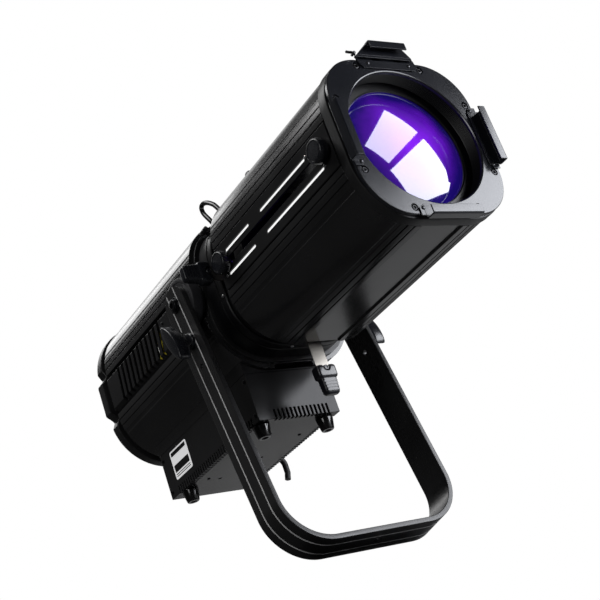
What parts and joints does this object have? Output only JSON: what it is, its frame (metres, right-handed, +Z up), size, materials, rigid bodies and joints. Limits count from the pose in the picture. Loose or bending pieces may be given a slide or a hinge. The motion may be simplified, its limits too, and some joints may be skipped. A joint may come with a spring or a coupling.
{
  "type": "ellipsoidal spotlight",
  "caption": "Black LED ellipsoidal stage spotlight: zoom barrel with lenses and shutters, ribbed housing, driver box, U-shaped yoke and colour-frame holders.",
  "frame": {"origin": "bottom centre of the bounding box, at rest, with the lamp level and the yoke hanging below it, swung forward 9.6 degrees", "axes": "-Y is the way the light leaves, along the lamp; +Z up; +X the lamp's own left side"},
  "size_m": [0.2898, 0.6106, 0.4674],
  "materials": {
    "anodised": "black satin anodised aluminium extrusion and bar, fine lengthwise grain",
    "powder_coat": "black fine-textured powder coat on sheet steel",
    "cast": "black painted casting, slightly rough",
    "plate": "dark satin sheet metal with bright worn edges",
    "plastic": "black moulded glass-filled plastic",
    "rubber": "black matt rubber",
    "steel": "brushed stainless steel",
    "aluminium": "plain aluminium",
    "glass": "polished lens glass with a violet anti-reflection coating",
    "emitter": "yellow phosphor LED array on its board"
  },
  "bodies": {
    "yoke": {"yoke_frame": "anodised"},
    "tilt_knob_right": {"tilt_knob_right": "plastic"},
    "tilt_knob_left": {"tilt_knob_left": "plastic"},
    "lamp": {"pivot_bolt_left": "steel", "pivot_bolt_right": "steel", "friction_disc_left": "powder_coat", "friction_disc_right": "powder_coat", "housing_shell": "anodised", "vent_panel_left": "powder_coat", "vent_panel_right": "powder_coat", "housing_bulkhead": "powder_coat", "rear_cap": "cast", "heat_sink": "aluminium", "led_board": "emitter", "reflector": "aluminium", "fan_frame": "plastic", "gate_ring": "cast", "safety_loop": "powder_coat", "driver_box": "powder_coat", "driver_box_lid": "powder_coat", "power_module": "aluminium", "foot_front_left": "rubber", "foot_front_right": "rubber", "foot_rear_left": "rubber", "foot_rear_right": "rubber", "control_panel": "powder_coat", "data_socket_in": "plastic", "data_socket_out": "plastic", "power_cord": "rubber"},
    "fan": {"fan_rotor": "plastic"},
    "barrel_lock": {"barrel_lock_screw": "plastic"},
    "barrel": {"shutter_box": "cast", "barrel_shell": "anodised", "focus_rail": "powder_coat", "front_bezel": "cast", "front_plate": "plate", "frame_holder_left": "plate", "frame_holder_right": "plate", "frame_holder_bottom": "plate", "retainer_base": "plate"},
    "shutter_bottom": {"shutter_blade_bottom": "steel", "shutter_handle_bottom": "plastic"},
    "shutter_top": {"shutter_blade_top": "steel", "shutter_handle_top": "plastic"},
    "shutter_right": {"shutter_blade_right": "steel", "shutter_handle_right": "plastic"},
    "shutter_left": {"shutter_blade_left": "steel", "shutter_handle_left": "plastic"},
    "focus_carriage": {"front_lens": "glass", "front_lens_holder": "powder_coat"},
    "focus_knob": {"focus_knob": "plastic"},
    "zoom_carriage": {"rear_lens": "glass", "rear_lens_holder": "powder_coat"},
    "zoom_knob": {"zoom_knob": "plastic"},
    "retainer": {"top_retainer": "plate"},
    "latch": {"retainer_latch": "plate"},
    "button_1": {"button_1": "plastic"},
    "button_2": {"button_2": "plastic"},
    "button_3": {"button_3": "plastic"},
    "button_4": {"button_4": "plastic"}
  },
  "joints": [
    {"name": "tilt", "type": "hinge", "parent": "yoke", "child": "lamp", "pos_m": [0, 0.0453, 0.32789], "axis": [1, 0, 0], "range_deg": [-120, 15]},
    {"name": "tilt_knob_right_turn", "type": "hinge", "parent": "yoke", "child": "tilt_knob_right", "pos_m": [-0.1179, 0.03663, 0.27662], "axis": [-1, 0, 0], "range_deg": [0, 270]},
    {"name": "tilt_knob_left_turn", "type": "hinge", "parent": "yoke", "child": "tilt_knob_left", "pos_m": [0.1179, 0.03663, 0.27662], "axis": [1, 0, 0], "range_deg": [0, 270]},
    {"name": "barrel_turn", "type": "hinge", "parent": "lamp", "child": "barrel", "pos_m": [0, -0.0117, 0.32789], "axis": [0, 1, 0], "range_deg": [-25, 25]},
    {"name": "barrel_lock_turn", "type": "hinge", "parent": "lamp", "child": "barrel_lock", "pos_m": [-0.066, 0.0053, 0.39389], "axis": [-0.7071, 0, 0.7071], "range_deg": [0, 180]},
    {"name": "focus_slide", "type": "slide", "parent": "barrel", "child": "focus_carriage", "axis": [0, 1, 0], "range_m": [0, 0.085]},
    {"name": "zoom_slide", "type": "slide", "parent": "barrel", "child": "zoom_carriage", "axis": [0, 1, 0], "range_m": [-0.085, 0]},
    {"name": "focus_knob_turn", "type": "hinge", "parent": "focus_carriage", "child": "focus_knob", "pos_m": [-0.097, -0.2617, 0.32789], "axis": [-1, 0, 0], "range_deg": [0, 180]},
    {"name": "zoom_knob_turn", "type": "hinge", "parent": "zoom_carriage", "child": "zoom_knob", "pos_m": [-0.097, -0.0497, 0.32789], "axis": [-1, 0, 0], "range_deg": [0, 180]},
    {"name": "shutter_bottom_slide", "type": "slide", "parent": "barrel", "child": "shutter_bottom", "axis": [0, 0, -1], "range_m": [-0.022, 0.01]},
    {"name": "shutter_top_slide", "type": "slide", "parent": "barrel", "child": "shutter_top", "axis": [0, 0, 1], "range_m": [-0.004, 0.028]},
    {"name": "shutter_right_slide", "type": "slide", "parent": "barrel", "child": "shutter_right", "axis": [-1, 0, 0], "range_m": [-0.008, 0.024]},
    {"name": "shutter_left_slide", "type": "slide", "parent": "barrel", "child": "shutter_left", "axis": [1, 0, 0], "range_m": [-0.004, 0.028]},
    {"name": "retainer_hinge", "type": "hinge", "parent": "barrel", "child": "retainer", "pos_m": [0, -0.2957, 0.42289], "axis": [1, 0, 0], "range_deg": [-60, 0]},
    {"name": "latch_turn", "type": "hinge", "parent": "barrel", "child": "latch", "pos_m": [-0.0425, -0.2962, 0.42439], "axis": [0, 1, 0], "range_deg": [0, 40]},
    {"name": "fan_spin", "type": "hinge", "parent": "lamp", "child": "fan", "pos_m": [0, 0.2643, 0.32789], "axis": [0, 1, 0], "continuous": true},
    {"name": "button_1_press", "type": "slide", "parent": "lamp", "child": "button_1", "axis": [0, -1, 0], "range_m": [0, 0.0012]},
    {"name": "button_2_press", "type": "slide", "parent": "lamp", "child": "button_2", "axis": [0, -1, 0], "range_m": [0, 0.0012]},
    {"name": "button_3_press", "type": "slide", "parent": "lamp", "child": "button_3", "axis": [0, -1, 0], "range_m": [0, 0.0012]},
    {"name": "button_4_press", "type": "slide", "parent": "lamp", "child": "button_4", "axis": [0, -1, 0], "range_m": [0, 0.0012]}
  ]
}
